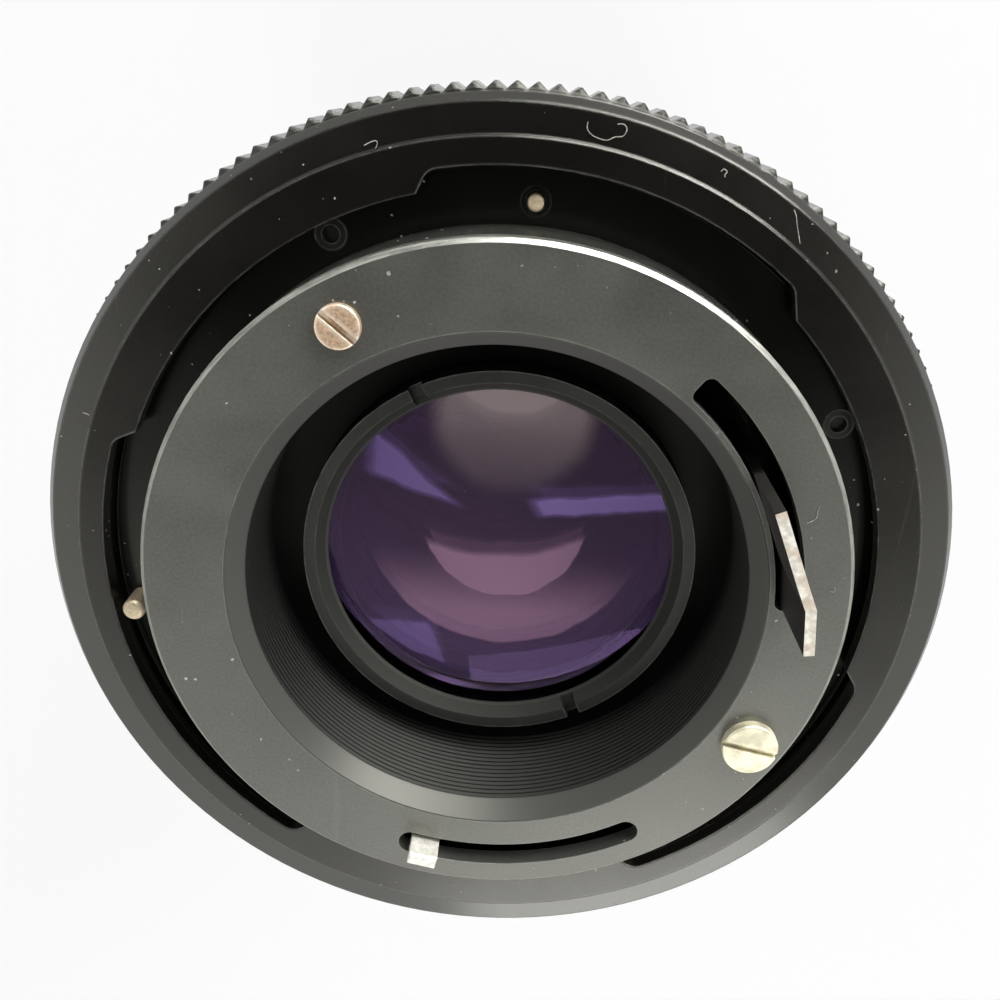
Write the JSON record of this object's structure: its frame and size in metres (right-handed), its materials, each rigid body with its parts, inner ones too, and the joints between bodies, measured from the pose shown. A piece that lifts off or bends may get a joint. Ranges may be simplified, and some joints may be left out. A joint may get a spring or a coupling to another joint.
{
  "type": "telephoto zoom lens",
  "caption": "Telephoto zoom lens with a breech-lock rear mount, aperture, zoom and focus rings, sliding cells and a working iris, standing on its front rim.",
  "frame": {"origin": "centre of the front rim's face, which the lens stands on", "axes": "+Z along the optical axis towards the camera, +Y towards the top of the mount"},
  "size_m": [0.066, 0.066, 0.1343],
  "materials": {
    "anodised_black": "satin black anodised aluminium",
    "ring_black": "satin black breech ring with worn edges",
    "flange_black": "glossy black painted metal",
    "baffle_black": "matt black turned metal",
    "bright_steel": "bare steel",
    "copper_screw": "pinkish worn brass",
    "brass_pin": "pale worn brass",
    "brass": "plain brass",
    "blackened_steel": "blackened steel",
    "bare_aluminium": "turned aluminium",
    "grip_rubber": "moulded black rubber",
    "coated_glass": "polished, with violet and magenta coatings"
  },
  "bodies": {
    "housing": {"main_barrel": "anodised_black", "mount_base": "flange_black", "rear_plate": "anodised_black", "plate_screws": "copper_screw", "flange_screws": "blackened_steel", "light_baffle": "baffle_black", "ring_stop_pin": "brass_pin", "release_pin_bush": "flange_black", "release_pin_spring": "bright_steel", "iris_cover": "baffle_black", "lever_retaining_clip": "bright_steel", "rotor_retaining_ring": "bright_steel", "iris_carrier": "baffle_black", "rear_cell": "anodised_black", "rear_retaining_ring": "anodised_black", "rear_element": "coated_glass", "rear_inner_element": "coated_glass", "rear_inner_ring": "baffle_black", "click_ball": "bright_steel", "click_spring": "bright_steel", "index_ring": "anodised_black", "cam_retaining_ring": "bare_aluminium", "focus_index_ring": "anodised_black", "focus_clamp_ring": "bare_aluminium", "focus_keys": "brass"},
    "breech": {"breech_ring": "ring_black"},
    "release": {"release_pin": "bright_steel"},
    "lever": {"aperture_lever": "bright_steel", "iris_rotor": "baffle_black"},
    "aperture": {"aperture_ring": "ring_black", "aperture_key_screw": "blackened_steel", "signal_lever": "bright_steel"},
    "zoom": {"zoom_ring": "ring_black", "zoom_grip": "grip_rubber", "zoom_key_screws": "blackened_steel", "cam_tube": "bare_aluminium"},
    "compensator": {"compensator_cell": "baffle_black", "compensator_lens": "coated_glass", "compensator_lock_ring": "baffle_black", "compensator_rollers": "brass"},
    "variator": {"variator_cell": "baffle_black", "variator_lens": "coated_glass", "variator_lock_ring": "baffle_black", "variator_rollers": "brass"},
    "focus": {"focus_ring": "ring_black", "focus_grip": "grip_rubber"},
    "front": {"front_barrel": "ring_black", "front_cell": "anodised_black", "front_ring": "anodised_black", "front_element": "coated_glass", "front_inner_element": "coated_glass", "front_inner_ring": "baffle_black"},
    "blade_1": {"iris_blade_1": "blackened_steel"},
    "blade_2": {"iris_blade_2": "blackened_steel"},
    "blade_3": {"iris_blade_3": "blackened_steel"},
    "blade_4": {"iris_blade_4": "blackened_steel"},
    "blade_5": {"iris_blade_5": "blackened_steel"},
    "blade_6": {"iris_blade_6": "blackened_steel"}
  },
  "joints": [
    {"name": "breech_ring_turn", "type": "hinge", "parent": "housing", "child": "breech", "pos_m": [0, 0, 0.12], "axis": [0, 0, 1], "range_deg": [-45, 25]},
    {"name": "release_pin_press", "type": "slide", "parent": "housing", "child": "release", "axis": [0, 0, -1], "range_m": [0, 0.0009], "stiffness_N_per_m": 400, "springref_m": -0.002, "deforming": ["release_pin_spring"]},
    {"name": "aperture_lever_turn", "type": "hinge", "parent": "housing", "child": "lever", "pos_m": [0, 0, 0.116], "axis": [0, 0, 1], "range_deg": [0, 20], "stiffness_Nm_per_rad": 0.01, "springref_deg": -11.46},
    {"name": "aperture_ring_turn", "type": "hinge", "parent": "housing", "child": "aperture", "pos_m": [0, 0, 0.111], "axis": [0, 0, 1], "range_deg": [0, 38]},
    {"name": "zoom_ring_turn", "type": "hinge", "parent": "housing", "child": "zoom", "pos_m": [0, 0, 0.086], "axis": [0, 0, 1], "range_deg": [0, 70]},
    {"name": "compensator_slide", "type": "slide", "parent": "housing", "child": "compensator", "axis": [0, 0, 1], "range_m": [0, 0.00801]},
    {"name": "variator_slide", "type": "slide", "parent": "housing", "child": "variator", "axis": [0, 0, 1], "range_m": [-0.02401, 0]},
    {"name": "focus_ring_turn", "type": "hinge", "parent": "housing", "child": "focus", "pos_m": [0, 0, 0.048], "axis": [0, 0, 1], "range_deg": [0, 200]},
    {"name": "front_barrel_slide", "type": "slide", "parent": "housing", "child": "front", "axis": [0, 0, 1], "range_m": [-0.00801, 0]},
    {"name": "iris_blade_1_turn", "type": "hinge", "parent": "housing", "child": "blade_1", "pos_m": [0.0182, 0, 0.104], "axis": [0, 0, 1], "range_deg": [0, 25]},
    {"name": "iris_blade_2_turn", "type": "hinge", "parent": "housing", "child": "blade_2", "pos_m": [0.0091, 0.01576, 0.104], "axis": [0, 0, 1], "range_deg": [0, 25]},
    {"name": "iris_blade_3_turn", "type": "hinge", "parent": "housing", "child": "blade_3", "pos_m": [-0.0091, 0.01576, 0.104], "axis": [0, 0, 1], "range_deg": [0, 25]},
    {"name": "iris_blade_4_turn", "type": "hinge", "parent": "housing", "child": "blade_4", "pos_m": [-0.0182, 0, 0.104], "axis": [0, 0, 1], "range_deg": [0, 25]},
    {"name": "iris_blade_5_turn", "type": "hinge", "parent": "housing", "child": "blade_5", "pos_m": [-0.0091, -0.01576, 0.104], "axis": [0, 0, 1], "range_deg": [0, 25]},
    {"name": "iris_blade_6_turn", "type": "hinge", "parent": "housing", "child": "blade_6", "pos_m": [0.0091, -0.01576, 0.104], "axis": [0, 0, 1], "range_deg": [0, 25]}
  ],
  "couplings": [
    {"joint": "compensator_slide", "follows": "zoom_ring_turn", "m_per_rad": 0.0065481},
    {"joint": "variator_slide", "follows": "zoom_ring_turn", "m_per_rad": -0.019644},
    {"joint": "front_barrel_slide", "follows": "focus_ring_turn", "m_per_rad": -0.0022918},
    {"joint": "iris_blade_1_turn", "follows": "aperture_lever_turn", "ratio": 1.25},
    {"joint": "iris_blade_2_turn", "follows": "aperture_lever_turn", "ratio": 1.25},
    {"joint": "iris_blade_3_turn", "follows": "aperture_lever_turn", "ratio": 1.25},
    {"joint": "iris_blade_4_turn", "follows": "aperture_lever_turn", "ratio": 1.25},
    {"joint": "iris_blade_5_turn", "follows": "aperture_lever_turn", "ratio": 1.25},
    {"joint": "iris_blade_6_turn", "follows": "aperture_lever_turn", "ratio": 1.25}
  ]
}
